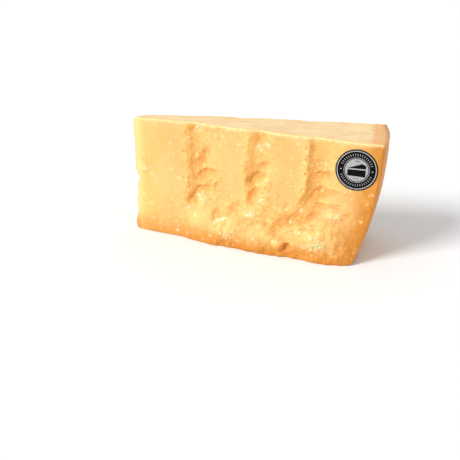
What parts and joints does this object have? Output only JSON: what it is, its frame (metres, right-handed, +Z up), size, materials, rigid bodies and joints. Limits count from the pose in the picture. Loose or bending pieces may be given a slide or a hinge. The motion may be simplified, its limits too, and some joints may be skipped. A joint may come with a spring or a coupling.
{
  "type": "parmesan cheese wedge",
  "caption": "Upright wedge of aged hard cheese with a level cut top, knife-split crumbling sides, a barrel-shaped rind and a round label.",
  "frame": {"origin": "on the flat base, 105 mm from the tip's line and near the middle of the wedge's length", "axes": "+X from the tip to the rind along the wedge, +Y to the side without the label, +Z up"},
  "size_m": [0.2195, 0.0746, 0.1061],
  "materials": {
    "cheese": "pale golden hard cheese, dull on its smooth panels and moist in its crumbling furrows, with a darker orange rind",
    "label": "thin glossy sticker, black with silver rings and a brushed silver middle"
  },
  "bodies": {
    "root": {"cheese": "cheese", "label": "label"}
  },
  "joints": []
}
